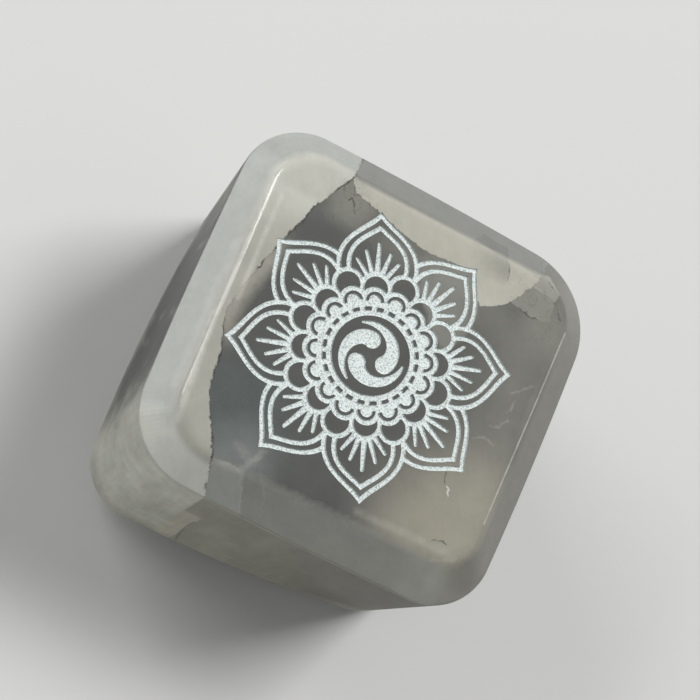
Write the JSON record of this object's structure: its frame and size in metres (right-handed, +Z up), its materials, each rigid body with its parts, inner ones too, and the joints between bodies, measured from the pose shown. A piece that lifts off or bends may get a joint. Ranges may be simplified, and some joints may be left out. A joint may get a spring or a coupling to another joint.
{
  "type": "engraved selenite cube",
  "caption": "Palm-sized hand-cut cube of polished translucent selenite, with broad bevels, rounded upright corners and a lotus mandala engraved in its upper face.",
  "frame": {"origin": "middle of the underside, at the middle of the overall width and depth", "axes": "+Z up, out of the engraved face, with the cube lying on its plain face; +X across the wider pair of walls; +Y towards the wall next to the pale milky band"},
  "size_m": [0.0512, 0.05, 0.045],
  "materials": {
    "selenite": "polished translucent satin spar, with the engraving frosted white"
  },
  "bodies": {
    "root": {"selenite_cube": "selenite"}
  },
  "joints": []
}
